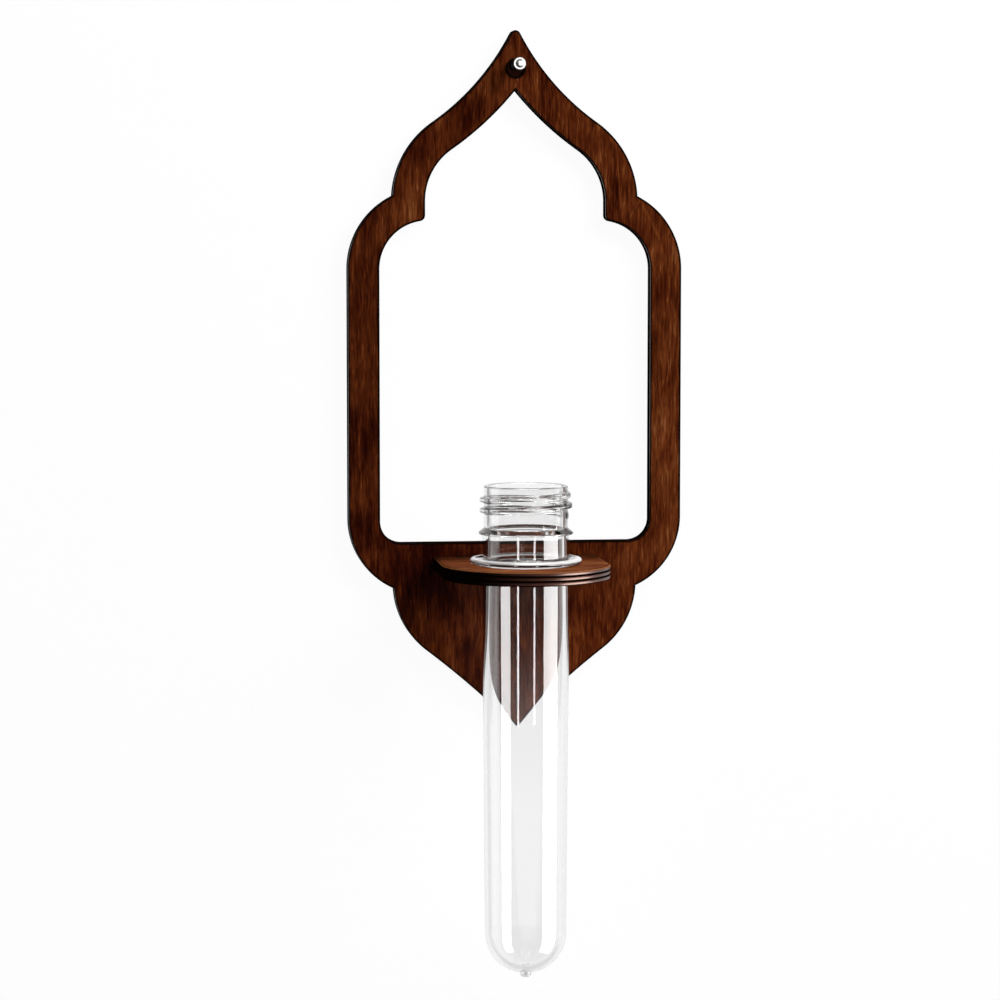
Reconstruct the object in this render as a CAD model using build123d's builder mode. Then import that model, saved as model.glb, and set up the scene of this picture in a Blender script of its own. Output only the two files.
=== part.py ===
from math import cos, radians, sin
import os

from build123d import *

# A wall hung flower tube: a laser cut plywood frame hangs on a nail and carries a
# small plywood shelf, and a clear threaded tube hangs by its ring in the shelf.
# X runs to the right, Y into the wall and Z up. The wall is the plane Y = 0 and
# the origin is the nail's axis where it enters the wall. Sizes are in millimetres.

# Plywood sheet: three veneers, one behind the other
veneer = 1.4
veneer_count = 3

# Frame outline, heights measured from the middle of the hanging hole
frame_width = 101.4
tip_rise = 13.4
tip_round = 1.6
arch_notch_width = 74.4
arch_notch_drop = 38.0
arch_radius = 28.8
arch_lean = 3.2
arch_turn = 52.0
shoulder_drop = 59.9
low_notch_width = 74.0
foot_radius = 25.5
foot_lean = 2.7
foot_turn = 49.7
foot_round = 0.9

# Window inside the frame
arch_band = 10.0
peak_drop = 6.45
side_band = 9.65
nib_drop = 45.4
nib_round = 1.8
window_drop = 142.3
window_corner = 6.5
hanging_hole_diameter = 5.0

# Lower plate, heights measured from the foot of the window
low_shoulder_above = 7.3
low_notch_below = 13.8
foot_below = 56.7
shelf_below = 4.3

# Shelf and the two tenons that hold it in the frame
shelf_width = 50.0
hole_to_frame = 24.0
tenon_width = 10.0
tenon_spacing = 26.0
glue_gap = 0.1

# Tube, heights measured from the underside of its ring
ring_diameter = 33.0
ring_thickness = 1.9
ring_round = 0.5
neck_height = 23.3
neck_diameter = 24.94
neck_bore = 21.74
rim_round = 0.5
bead_diameter = 28.0
bead_drop = 14.3
bead_height = 1.7
bead_slope = 1.1
lower_neck_diameter = 25.72
body_top_diameter = 25.9
body_end_diameter = 24.3
body_length = 122.6
body_wall = 1.9
bore_step_drop = 3.0
bore_step_length = 13.0
gate_diameter = 3.2
gate_length = 1.3
gate_round = 0.5
tube_gap = 0.35

# Screw thread on the tube's neck
thread_diameter = 27.43
thread_pitch = 3.12
thread_turns = 2.1
thread_start_drop = 9.0
thread_start_angle = -18.0
thread_root_width = 2.3
thread_crest_width = 0.9
thread_sink = 0.3

# Nail in the wall, with grip marks across the stretch that stands out of it
nail_diameter = 2.9
nail_head_diameter = 3.9
nail_head_height = 2.2
nail_head_land = 1.0
nail_head_round = 0.3
nail_dimple_diameter = 2.4
nail_dimple_depth = 0.7
nail_stand_off = 10.5
nail_in_wall = 26.0
nail_point = 5.0
nail_rest_gap = 0.05
grip_mark_count = 6
grip_mark_pitch = 2.0
grip_mark_width = 0.7
grip_mark_depth = 0.2

# How near a corner or an edge lies to where it is looked for
pick_tolerance = 0.01

# Places that follow from the sizes above
sheet = veneer * veneer_count
hole_radius = hanging_hole_diameter / 2
hole_z = nail_diameter / 2 + nail_rest_gap - hole_radius
frame_half = frame_width / 2
low_shoulder_drop = window_drop - low_shoulder_above
low_notch_drop = window_drop + low_notch_below
foot_drop = window_drop + foot_below
shelf_top = hole_z - window_drop - shelf_below
tube_y = -(sheet + hole_to_frame)
shelf_hole_diameter = body_top_diameter + 2 * tube_gap


def height(drop):
    """Height of a point of the outline that lies a drop below the hanging hole."""
    return hole_z - drop


os.makedirs("parts", exist_ok=True)

# Outline of the frame, right half drawn and mirrored
with BuildSketch() as outline:
    with BuildLine():
        arch_notch = (arch_notch_width / 2, height(arch_notch_drop))
        low_notch = (low_notch_width / 2, height(low_notch_drop))
        arch = JernArc(
            start=arch_notch,
            tangent=(-sin(radians(arch_lean)), cos(radians(arch_lean))),
            radius=arch_radius,
            arc_size=arch_turn,
        )
        TangentArc(arch @ 1, (0, height(-tip_rise)), tangent=arch % 1)
        TangentArc((frame_half, height(shoulder_drop)), arch_notch, tangent=(0, 1))
        Line((frame_half, height(shoulder_drop)), (frame_half, height(low_shoulder_drop)))
        TangentArc((frame_half, height(low_shoulder_drop)), low_notch, tangent=(0, -1))
        foot = JernArc(
            start=low_notch,
            tangent=(-sin(radians(foot_lean)), -cos(radians(foot_lean))),
            radius=foot_radius,
            arc_size=-foot_turn,
        )
        TangentArc(foot @ 1, (0, height(foot_drop)), tangent=foot % 1)
        mirror(about=Plane.YZ)
    make_face()
    fillet(outline.vertices().sort_by(Axis.Y)[-1], tip_round)
    fillet(outline.vertices().sort_by(Axis.Y)[0], foot_round)

# Window of the frame, whose arch runs one band inside the arch of the outline and
# sweeps to a peak under the hanging hole
with BuildSketch() as window:
    with BuildLine():
        arch_middle = arch.arc_center
        inner_radius = arch_radius - arch_band
        inner_half = frame_half - side_band
        nib_x = arch_middle.X + inner_radius
        inner_arch = JernArc(
            start=(nib_x, arch_middle.Y),
            tangent=(0, 1),
            radius=inner_radius,
            arc_size=arch_lean + arch_turn,
        )
        TangentArc(inner_arch @ 1, (0, height(peak_drop)), tangent=inner_arch % 1)
        Line((nib_x, arch_middle.Y), (nib_x, height(nib_drop)))
        TangentArc(
            (inner_half, height(shoulder_drop)),
            (nib_x, height(nib_drop)),
            tangent=(0, 1),
        )
        Line((inner_half, height(shoulder_drop)), (inner_half, height(window_drop)))
        Line((inner_half, height(window_drop)), (0, height(window_drop)))
        mirror(about=Plane.YZ)
    make_face()
    low_corners = window.vertices().group_by(Axis.Y)[0].sort_by(Axis.X)
    fillet([low_corners[0], low_corners[-1]], window_corner)
    nibs = [v for v in window.vertices() if abs(v.Y - height(nib_drop)) < pick_tolerance]
    fillet(nibs, nib_round)

# Face of the frame: the outline less its window, hanging hole and tenon slots
with BuildSketch() as frame_face:
    add(outline.sketch)
    add(window.sketch, mode=Mode.SUBTRACT)
    with Locations((0, hole_z)):
        Circle(hole_radius, mode=Mode.SUBTRACT)
    with Locations((0, shelf_top - sheet / 2)):
        with GridLocations(tenon_spacing, 0, 2, 1):
            Rectangle(tenon_width + 2 * glue_gap, sheet + 2 * glue_gap, mode=Mode.SUBTRACT)

# Frame veneers, from the wall outwards
for level, place in enumerate(("back", "core", "front")):
    with BuildPart() as frame_veneer:
        with BuildSketch(Plane.XZ.offset(level * veneer)):
            add(frame_face.sketch)
        extrude(amount=veneer)
    frame_veneer.part.label = f"frame_{place}_veneer"
    export_step(frame_veneer.part, f"parts/frame_{place}_veneer.step")

# Face of the shelf: a round ended board with tenons at the back and the tube's hole
with BuildSketch() as shelf_face:
    with BuildLine():
        nose = CenterArc((0, tube_y), shelf_width / 2, 180, 180)
        Polyline(nose @ 1, (shelf_width / 2, -sheet), (-shelf_width / 2, -sheet), nose @ 0)
    make_face()
    with Locations((0, -sheet / 2)):
        with GridLocations(tenon_spacing, 0, 2, 1):
            Rectangle(tenon_width, sheet)
    with Locations((0, tube_y)):
        Circle(shelf_hole_diameter / 2, mode=Mode.SUBTRACT)

# Shelf veneers, from the top down
for level, place in enumerate(("top", "core", "bottom")):
    with BuildPart() as shelf_veneer:
        with BuildSketch(Plane.XY.offset(shelf_top - (level + 1) * veneer)):
            add(shelf_face.sketch)
        extrude(amount=veneer)
    shelf_veneer.part.label = f"shelf_{place}_veneer"
    export_step(shelf_veneer.part, f"parts/shelf_{place}_veneer.step")

# Tube: a neck with a bead and a carrying ring, a tapering body and a domed end
dome_radius = body_end_diameter / 2
dome_height = shelf_top - body_length + dome_radius
inner_dome_radius = dome_radius - body_wall
body_bore_radius = body_top_diameter / 2 - body_wall
rim_height = shelf_top + neck_height
ring_top = shelf_top + ring_thickness
bead_bottom = rim_height - bead_drop
bead_top = bead_bottom + bead_height
tube_section = Plane(origin=(0, tube_y, 0), x_dir=(1, 0, 0), z_dir=(0, -1, 0))

with BuildPart() as flower_tube:
    with BuildSketch(tube_section):
        with BuildLine():
            outer_dome = CenterArc((0, dome_height), dome_radius, -90, 90)
            inner_dome = CenterArc((0, dome_height), inner_dome_radius, -90, 90)
            Polyline(
                outer_dome @ 1,
                (body_top_diameter / 2, shelf_top),
                (ring_diameter / 2, shelf_top),
                (ring_diameter / 2, ring_top),
                (lower_neck_diameter / 2, ring_top),
                (lower_neck_diameter / 2, bead_bottom),
                (bead_diameter / 2, bead_bottom),
                (bead_diameter / 2, bead_top - bead_slope),
                (neck_diameter / 2, bead_top),
                (neck_diameter / 2, rim_height),
                (neck_bore / 2, rim_height),
                (neck_bore / 2, shelf_top - bore_step_drop),
                (body_bore_radius, shelf_top - bore_step_drop - bore_step_length),
                inner_dome @ 1,
            )
            Line(outer_dome @ 0, inner_dome @ 0)
        make_face()
    revolve(axis=Axis((0, tube_y, 0), (0, 0, 1)))
    ring_edges = flower_tube.edges().filter_by(GeomType.CIRCLE)
    ring_radius = ring_diameter / 2
    ring_rims = [e for e in ring_edges if abs(e.radius - ring_radius) < pick_tolerance]
    fillet(ring_rims, ring_round)
    rim_edges = flower_tube.edges().group_by(Axis.Z)[-1]
    fillet(rim_edges, rim_round)

    # Gate mark that the mould leaves under the dome
    with BuildSketch(Plane((0, tube_y, dome_height - dome_radius - gate_length))):
        Circle(gate_diameter / 2)
    extrude(until=Until.NEXT)
    fillet(flower_tube.edges().group_by(Axis.Z)[0], gate_round)

    # Thread: a tapered section carried along a helix that rises from the front right
    thread_angle = radians(thread_start_angle)
    thread_axis = Plane(
        origin=(0, tube_y, rim_height - thread_start_drop),
        x_dir=(cos(thread_angle), sin(thread_angle), 0),
    )
    with BuildLine(thread_axis) as thread_path:
        Helix(thread_pitch, thread_pitch * thread_turns, neck_diameter / 2 - thread_sink)
    thread_line = thread_path.line
    with BuildSketch(Plane(thread_line @ 0, x_dir=thread_axis.x_dir, z_dir=thread_line % 0)):
        with BuildLine():
            crest = (thread_diameter - neck_diameter) / 2 + thread_sink
            Polyline(
                (0, -thread_root_width / 2),
                (crest, -thread_crest_width / 2),
                (crest, thread_crest_width / 2),
                (0, thread_root_width / 2),
                close=True,
            )
        make_face()
    sweep(path=thread_line, is_frenet=True)
flower_tube.part.label = "flower_tube"
export_step(flower_tube.part, "parts/flower_tube.step")

# Nail: a dimpled head, a shank that the frame hangs on and a point in the wall
nail_front = -(sheet + nail_stand_off)
nail_radius = nail_diameter / 2
with BuildPart() as hanging_nail:
    with BuildSketch(Plane.XY):
        with BuildLine():
            dimple = TangentArc(
                (0, nail_front + nail_dimple_depth),
                (nail_dimple_diameter / 2, nail_front),
                tangent=(1, 0),
            )
            Polyline(
                dimple @ 1,
                (nail_head_diameter / 2, nail_front),
                (nail_head_diameter / 2, nail_front + nail_head_land),
                (nail_radius, nail_front + nail_head_height),
                (nail_radius, nail_in_wall - nail_point),
                (0, nail_in_wall),
                dimple @ 0,
            )
        make_face()
    revolve(axis=Axis.Y)
    head_rims = hanging_nail.faces().sort_by(Axis.Y)[0].edges()
    fillet(head_rims.sort_by(SortBy.RADIUS)[-1], nail_head_round)
    with BuildSketch(Plane.XY):
        for mark in range(grip_mark_count):
            with Locations((nail_radius, -mark * grip_mark_pitch)):
                Rectangle(2 * grip_mark_depth, grip_mark_width)
    revolve(axis=Axis.Y, mode=Mode.SUBTRACT)
hanging_nail.part.label = "hanging_nail"
export_step(hanging_nail.part, "parts/hanging_nail.step")
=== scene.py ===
import math

import bmesh
import bpy
import numpy as np
from bpy.props import FloatProperty, FloatVectorProperty, IntProperty, PointerProperty
from bpy.types import Operator, Panel, PropertyGroup
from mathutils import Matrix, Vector


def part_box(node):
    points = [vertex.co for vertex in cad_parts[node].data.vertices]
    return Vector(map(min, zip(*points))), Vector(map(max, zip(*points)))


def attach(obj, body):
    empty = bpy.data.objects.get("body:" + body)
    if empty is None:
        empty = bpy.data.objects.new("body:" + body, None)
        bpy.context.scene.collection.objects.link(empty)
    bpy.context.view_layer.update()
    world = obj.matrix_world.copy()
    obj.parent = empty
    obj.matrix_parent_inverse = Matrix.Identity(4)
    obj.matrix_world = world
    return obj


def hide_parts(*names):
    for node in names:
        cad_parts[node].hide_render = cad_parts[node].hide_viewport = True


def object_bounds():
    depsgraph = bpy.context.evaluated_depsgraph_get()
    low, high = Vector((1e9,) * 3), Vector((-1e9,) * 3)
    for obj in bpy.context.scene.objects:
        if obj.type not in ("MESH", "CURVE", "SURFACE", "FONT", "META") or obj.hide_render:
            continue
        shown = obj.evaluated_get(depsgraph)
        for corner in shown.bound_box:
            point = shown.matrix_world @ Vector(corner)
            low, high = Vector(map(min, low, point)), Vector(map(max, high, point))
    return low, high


bl_info = {
    "name": "Wall hung flower tube",
    "version": (1, 0, 0),
    "blender": (4, 5, 0),
    "location": "View3D > Sidebar > Flower tube",
    "description": "Dresses the packed flower tube: stained plywood, clear tube and nail",
    "category": "Object",
}

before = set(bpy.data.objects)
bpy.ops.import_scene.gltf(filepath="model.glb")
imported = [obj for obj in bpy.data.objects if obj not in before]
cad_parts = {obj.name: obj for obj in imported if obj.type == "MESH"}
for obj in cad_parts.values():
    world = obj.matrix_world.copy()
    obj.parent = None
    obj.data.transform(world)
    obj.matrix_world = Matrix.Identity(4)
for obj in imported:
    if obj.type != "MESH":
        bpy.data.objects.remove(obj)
CAD_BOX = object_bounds()

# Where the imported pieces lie, in metres. X runs right, Y into the wall and Z up.
FRAME_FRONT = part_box("frame_front_veneer")[0].y
SHELF_LOW, SHELF_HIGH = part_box("shelf_top_veneer")
TUBE_LOW, TUBE_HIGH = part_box("flower_tube")
NAIL_LOW, NAIL_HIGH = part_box("hanging_nail")
VENEER = SHELF_HIGH.z - SHELF_LOW.z
TUBE_Y = (TUBE_LOW.y + TUBE_HIGH.y) / 2
SHELF_TOP = SHELF_HIGH.z
RIM_HEIGHT = TUBE_HIGH.z
OBJECT_MIDDLE = (CAD_BOX[0] + CAD_BOX[1]) / 2


def length(name, text, default):
    """A length in metres that the sidebar shows as a distance."""
    return FloatProperty(
        name=name,
        description=text,
        default=default,
        precision=5,
        subtype="DISTANCE",
        unit="LENGTH",
    )


def angle(name, text, degrees):
    """An angle that the sidebar shows in degrees."""
    return FloatProperty(
        name=name,
        description=text,
        default=math.radians(degrees),
        subtype="ANGLE",
        unit="ROTATION",
    )


def share(name, text, default):
    """A plain share or strength."""
    return FloatProperty(name=name, description=text, default=default)


def colour(name, text, default):
    """A linear colour."""
    return FloatVectorProperty(
        name=name,
        description=text,
        default=default,
        size=3,
        min=0.0,
        max=1.0,
        precision=4,
        subtype="COLOR",
    )


class FrameSizes(PropertyGroup):
    """Sizes of the plywood frame, drops measured down from its hanging hole"""

    width: length("Width", "Across the straight sides", 0.1014)
    hole_height: length("Hole height", "Height of the hole's middle from the nail's axis", -0.001)
    hole_diameter: length("Hole", "Diameter of the hanging hole", 0.005)
    tip_rise: length("Tip rise", "Point of the arch above the hole, before it is rounded", 0.0134)
    tip_round: length("Tip round", "Radius at the point of the arch", 0.0016)
    arch_notch_width: length("Upper notch width", "Between the two upper notches", 0.0744)
    arch_notch_drop: length("Upper notch drop", "Drop of the upper notches", 0.038)
    arch_radius: length("Arch radius", "Radius of the arch above the notches", 0.0288)
    arch_lean: angle("Arch lean", "Lean of the arch where it leaves the notch", 3.2)
    arch_turn: angle("Arch turn", "How far the arch turns before it sweeps to the point", 52.0)
    shoulder_drop: length("Shoulder drop", "Top of the straight sides", 0.0599)
    low_shoulder_drop: length("Low shoulder drop", "Foot of the straight sides", 0.135)
    low_notch_width: length("Lower notch width", "Between the two lower notches", 0.074)
    low_notch_drop: length("Lower notch drop", "Drop of the lower notches", 0.1561)
    foot_radius: length("Foot radius", "Radius of the plate below the notches", 0.0255)
    foot_lean: angle("Foot lean", "Lean of the plate where it leaves the notch", 2.7)
    foot_turn: angle("Foot turn", "How far the plate turns before it sweeps to its foot", 49.7)
    foot_drop: length("Foot drop", "Point of the foot, before it is rounded", 0.199)
    foot_round: length("Foot round", "Radius at the point of the foot", 0.0009)
    arch_band: length("Arch band", "Width of the frame along the arch", 0.01)
    peak_drop: length("Peak drop", "Peak of the window", 0.00645)
    side_band: length("Side band", "Width of the frame along its sides", 0.00965)
    nib_drop: length("Nib drop", "Drop of the nibs inside the window", 0.0454)
    nib_round: length("Nib round", "Radius of the nibs", 0.0018)
    window_drop: length("Window drop", "Foot of the window", 0.1423)
    window_corner: length("Window corner", "Radius of the window's low corners", 0.0065)
    edge_round: length("Edge round", "How far each ply's cut edge is worn round", 0.0003)


class ShelfSizes(PropertyGroup):
    """Sizes of the shelf and of the two tenons that hold it in the frame"""

    width: length("Width", "Across the shelf", 0.05)
    hole_diameter: length("Hole", "Diameter of the hole that the tube hangs in", 0.0266)
    tenon_width: length("Tenon width", "Width of each tenon", 0.01)
    tenon_spacing: length("Tenon spacing", "Between the middles of the tenons", 0.026)
    glue_gap: length("Glue gap", "Room around each tenon in its slot", 0.0001)
    edge_round: length("Edge round", "How far each ply's cut edge is worn round", 0.0005)


class TubeSizes(PropertyGroup):
    """Sizes of the clear tube, drops measured down from its rim"""

    ring_diameter: length("Ring", "Diameter of the carrying ring", 0.033)
    ring_thickness: length("Ring thickness", "Thickness of the carrying ring", 0.0019)
    neck_diameter: length("Neck", "Outer diameter of the neck", 0.02494)
    neck_bore: length("Bore", "Diameter of the bore through the neck", 0.02174)
    bead_diameter: length("Bead", "Diameter of the bead under the thread", 0.028)
    bead_drop: length("Bead drop", "Underside of the bead", 0.0143)
    bead_height: length("Bead height", "Height of the bead with its slope", 0.0017)
    bead_slope: length("Bead slope", "Height of the slope on the bead", 0.0011)
    lower_neck_diameter: length("Lower neck", "Outer diameter under the bead", 0.02572)
    body_top_diameter: length("Body top", "Outer diameter under the ring", 0.0259)
    body_end_diameter: length("Body end", "Outer diameter where the dome starts", 0.0243)
    body_length: length("Body length", "From the ring's underside to the end of the dome", 0.1226)
    body_wall: length("Wall", "Wall of the body", 0.0019)
    bore_step_drop: length("Step drop", "Where the bore starts to narrow, below the ring", 0.003)
    bore_step_length: length("Step length", "How long the bore narrows", 0.013)
    gate_diameter: length("Gate mark", "Diameter of the mark under the dome", 0.0032)
    gate_length: length("Gate length", "How far the mark stands out", 0.0013)
    thread_diameter: length("Thread", "Outer diameter of the screw thread", 0.02743)
    thread_pitch: length("Pitch", "Rise of the thread in one turn", 0.00312)
    thread_turns: share("Turns", "Turns of the thread", 2.1)
    thread_start_drop: length("Thread start", "Drop of the thread's lower end", 0.009)
    thread_start_angle: angle("Thread start angle", "Where the thread starts, from the right", -18.0)
    thread_root: length("Thread root", "Width of the thread at the neck", 0.0023)
    thread_crest: length("Thread crest", "Width of the thread's crest", 0.0009)
    thread_fade: angle("Thread fade", "Over what angle each end of the thread fades", 50.0)
    seam_angle: angle("Seam angle", "Where the mould's parting line runs, from the right", -101.8)
    seam_height: length("Seam height", "How far the parting line stands out", 0.0001)


class NailSizes(PropertyGroup):
    """Sizes of the nail"""

    diameter: length("Shank", "Diameter of the shank", 0.0029)
    head_diameter: length("Head", "Diameter of the head", 0.0039)
    head_height: length("Head height", "Length of the head with its cone", 0.0022)
    head_land: length("Head land", "Length of the head's rim", 0.001)
    head_round: length("Head round", "Radius of the head's rim", 0.0003)
    dimple_diameter: length("Dimple", "Diameter of the dimple in the head", 0.0026)
    dimple_depth: length("Dimple depth", "Depth of the dimple", 0.0003)
    point: length("Point", "Length of the point", 0.005)
    mark_count: IntProperty(name="Grip marks", description="Grip marks on the shank", default=6)
    mark_pitch: length("Grip mark pitch", "Between grip marks on the shank", 0.002)
    mark_width: length("Grip mark width", "Width of a grip mark", 0.0007)
    mark_depth: length("Grip mark depth", "Depth of a grip mark", 0.0002)


class Finishes(PropertyGroup):
    """Colours of the finishes"""

    stain_deep: colour("Deep stain", "Stain in the pores", (0.0080, 0.0009, 0.0004))
    stain_dark: colour("Dark stain", "Stain in the dense grain", (0.026, 0.0036, 0.0010))
    stain_middle: colour("Stain", "Stain over most of the face", (0.060, 0.0115, 0.0026))
    stain_light: colour("Light stain", "Stain on the light figure", (0.112, 0.0265, 0.0062))
    stain_pale: colour("Pale stain", "Stain on the palest fibres", (0.19, 0.066, 0.022))
    scorch: colour("Scorch", "Wood burnt by the laser", (0.0030, 0.0014, 0.0010))
    # The brown of the shelf's cut plies, shown only where light falls from the right: painted light
    cut_wood: colour("Cut wood", "Stain on the round of the shelf's cut plies", (0.050, 0.016, 0.009))
    steel: colour("Steel", "Bright drawn steel", (0.80, 0.80, 0.79))
    clear: colour("Clear plastic", "Tint of the tube", (0.99, 0.99, 0.99))
    wall: colour("Wall", "Paint of the wall and floor", (0.93, 0.93, 0.93))


class StageSettings(PropertyGroup):
    """Camera and lamps"""

    camera_x: length("Camera X", "Camera to the right of the nail", -0.12599)
    camera_y: length("Camera Y", "Depth of the camera, negative in front of the wall", -0.96365)
    camera_z: length("Camera Z", "Camera above the nail", -0.05013)
    camera_yaw: angle("Yaw", "Camera turned towards the right", 7.206)
    camera_pitch: angle("Pitch", "Camera tilted down", 4.756)
    camera_lens: share("Lens", "Focal length on a 36 mm sensor, in millimetres", 115.47)
    ambient: share("Ambient", "Light from all round", 0.18)
    room: share("Room", "How bright the room in front is in a reflection", 0.05)
    low_room: share("Low room", "How bright the low part of that room is", 0.55)


# Curves in a plane, as arrays of points

# Points on a short curve, on a long one and on half of the window's nib
COARSE, FINE, HALF_NIB = 48, 96, 24


def rotated(vector, turn):
    """A plane vector turned to the left by an angle."""
    c, s = math.cos(turn), math.sin(turn)
    return np.array([c * vector[0] - s * vector[1], s * vector[0] + c * vector[1]])


def tangent_centre(start, heading, end):
    """Centre of the circle that leaves start along a unit heading and meets end.

    It lies on the normal at start, at the chord squared over twice the chord's
    part along that normal."""
    normal = np.array([-heading[1], heading[0]])
    chord = end - start
    return start + normal * (chord @ chord) / (2 * (chord @ normal))


def arc(centre, first, last, count=COARSE):
    """Points about a centre from first to last, the short way round."""
    a = math.atan2(*(first - centre)[::-1])
    b = math.atan2(*(last - centre)[::-1])
    sweep = (b - a + math.pi) % (2 * math.pi) - math.pi
    turn = a + sweep * np.linspace(0, 1, count)
    radius = np.linalg.norm(first - centre)
    return centre + radius * np.stack([np.cos(turn), np.sin(turn)], 1)


def straight(first, last, count=COARSE):
    """Points on a straight line."""
    step = np.linspace(0, 1, count)[:, None]
    return np.asarray(first) * (1 - step) + np.asarray(last) * step


def joined(*runs):
    """Runs of points end to end, without the points where they meet twice."""
    return np.concatenate([runs[0]] + [run[1:] for run in runs[1:]])


def resampled(path, count):
    """A path at even shares of its own length."""
    steps = np.linalg.norm(np.diff(path, axis=0), axis=1)
    run = np.concatenate([[0], np.cumsum(steps)])
    at = np.linspace(0, run[-1], count)
    return np.stack([np.interp(at, run, path[:, k]) for k in (0, 1)], 1)


def inset(path, amount, side):
    """A path moved sideways: side 1 is its left and -1 its right."""
    heading = np.gradient(path, axis=0)
    heading /= np.linalg.norm(heading, axis=1, keepdims=True)
    normal = np.stack([-heading[:, 1], heading[:, 0]], 1)
    return path + side * amount * normal


def smooth_step(low, high, value):
    """0 below low, 1 above high and an S-shaped rise between them."""
    t = np.clip((value - low) / (high - low), 0, 1)
    return t * t * (3 - 2 * t)


def swept_to_point(notch, lean, radius, turn, point, tip_round, side):
    """Middles and ends of the arcs from a notch to a point, upwards for side 1 and down for -1.

    An arc leaves the notch with a lean and turns so far. A second arc, tangent to it,
    sweeps to the point on the middle line, and a small round ends it there. The round's
    middle lies on the middle line, as far from the sweep's middle as both radii together."""
    out = np.array([math.cos(lean), side * math.sin(lean)])
    middle = notch - radius * out
    end = middle + rotated(radius * out, side * turn)
    heading = rotated([-side * out[1], side * out[0]], side * turn)
    sweep = tangent_centre(end, heading, point)
    sweep_radius = np.linalg.norm(end - sweep)
    reach = sweep_radius + tip_round
    tip = np.array([0.0, sweep[1] - side * math.sqrt(reach**2 - sweep[0] ** 2)])
    tip_end = sweep + (tip - sweep) * sweep_radius / reach
    return middle, end, sweep, tip_end, tip, tip + [0, side * tip_round]


def frame_paths(s):
    """Right half of the frame's outline and of its window, from the top down.

    Returns pairs of matching runs in X and Z. The outline is made of arcs that are
    tangent to each other except at the notches, with a small round at either
    point. The window's arch runs one band inside the arch of the outline and
    sweeps to its own peak."""
    half = s.width / 2
    up, down = np.array([0.0, 1.0]), np.array([0.0, -1.0])
    notch = np.array([s.arch_notch_width / 2, s.hole_height - s.arch_notch_drop])
    low_notch = np.array([s.low_notch_width / 2, s.hole_height - s.low_notch_drop])
    shoulder = np.array([half, s.hole_height - s.shoulder_drop])
    low_shoulder = np.array([half, s.hole_height - s.low_shoulder_drop])
    point = np.array([0.0, s.hole_height + s.tip_rise])
    foot_point = np.array([0.0, s.hole_height - s.foot_drop])
    arch_middle, arch_end, tail_middle, tip_end, tip_middle, tip_top = swept_to_point(
        notch, s.arch_lean, s.arch_radius, s.arch_turn, point, s.tip_round, 1
    )
    foot_middle, foot_end, toe_middle, toe_end, sole_middle, sole = swept_to_point(
        low_notch, s.foot_lean, s.foot_radius, s.foot_turn, foot_point, s.foot_round, -1
    )

    # The window
    inner_half = half - s.side_band
    inner_radius = s.arch_radius - s.arch_band
    peak = np.array([0.0, s.hole_height - s.peak_drop])
    inner_turn = s.arch_lean + s.arch_turn
    inner_end = arch_middle + rotated([inner_radius, 0], inner_turn)
    sweep_middle = tangent_centre(inner_end, rotated([0, 1], inner_turn), peak)
    nib_x = arch_middle[0] + inner_radius
    nib_corner = np.array([nib_x, s.hole_height - s.nib_drop])
    inner_shoulder = np.array([inner_half, shoulder[1]])
    bend_middle = tangent_centre(inner_shoulder, up, nib_corner)
    bend_radius = np.linalg.norm(inner_shoulder - bend_middle)
    reach = bend_radius + s.nib_round
    across = nib_x + s.nib_round - bend_middle[0]
    nib_middle = np.array(
        [nib_x + s.nib_round, bend_middle[1] + math.sqrt(reach**2 - across**2)]
    )
    nib_start = nib_middle - [s.nib_round, 0]
    nib_end = bend_middle + (nib_middle - bend_middle) * bend_radius / reach
    sill = s.hole_height - s.window_drop
    corner_middle = np.array([inner_half - s.window_corner, sill + s.window_corner])
    corner_start = corner_middle + [s.window_corner, 0]
    corner_end = corner_middle - [0, s.window_corner]
    arch_foot = np.array([nib_x, arch_middle[1]])
    nib = arc(nib_middle, nib_start, nib_end, 2 * HALF_NIB + 1)
    shoulder_middle = tangent_centre(shoulder, up, notch)
    low_shoulder_middle = tangent_centre(low_shoulder, down, low_notch)
    return [
        (
            joined(arc(tip_middle, tip_top, tip_end), arc(tail_middle, tip_end, arch_end)),
            arc(sweep_middle, peak, inner_end, FINE),
        ),
        (
            arc(arch_middle, arch_end, notch, FINE),
            joined(
                arc(arch_middle, inner_end, arch_foot),
                straight(arch_foot, nib_start),
                nib[: HALF_NIB + 1],
            ),
        ),
        (
            arc(shoulder_middle, notch, shoulder, FINE),
            joined(nib[HALF_NIB:], arc(bend_middle, nib_end, inner_shoulder)),
        ),
        (straight(shoulder, low_shoulder), straight(inner_shoulder, corner_start)),
        (
            arc(low_shoulder_middle, low_shoulder, low_notch, FINE),
            arc(corner_middle, corner_start, corner_end, FINE),
        ),
        (
            joined(
                arc(foot_middle, low_notch, foot_end, FINE),
                arc(toe_middle, foot_end, toe_end, FINE),
                arc(sole_middle, toe_end, sole),
            ),
            straight(corner_end, [0.0, sill]),
        ),
    ]


# Meshes from grids of points

# Points closer than this are merged, in metres
SAME_POINT = 2e-7


def grid_faces(rows, columns, close_rows=False, close_columns=False):
    """Four-sided faces between neighbours of a grid, as point numbers."""
    number = np.arange(rows * columns).reshape(rows, columns)
    if close_rows:
        number = np.concatenate([number, number[:1]], 0)
    if close_columns:
        number = np.concatenate([number, number[:, :1]], 1)
    corners = (number[:-1, :-1], number[1:, :-1], number[1:, 1:], number[:-1, 1:])
    return np.stack([c.ravel() for c in corners], 1)


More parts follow.
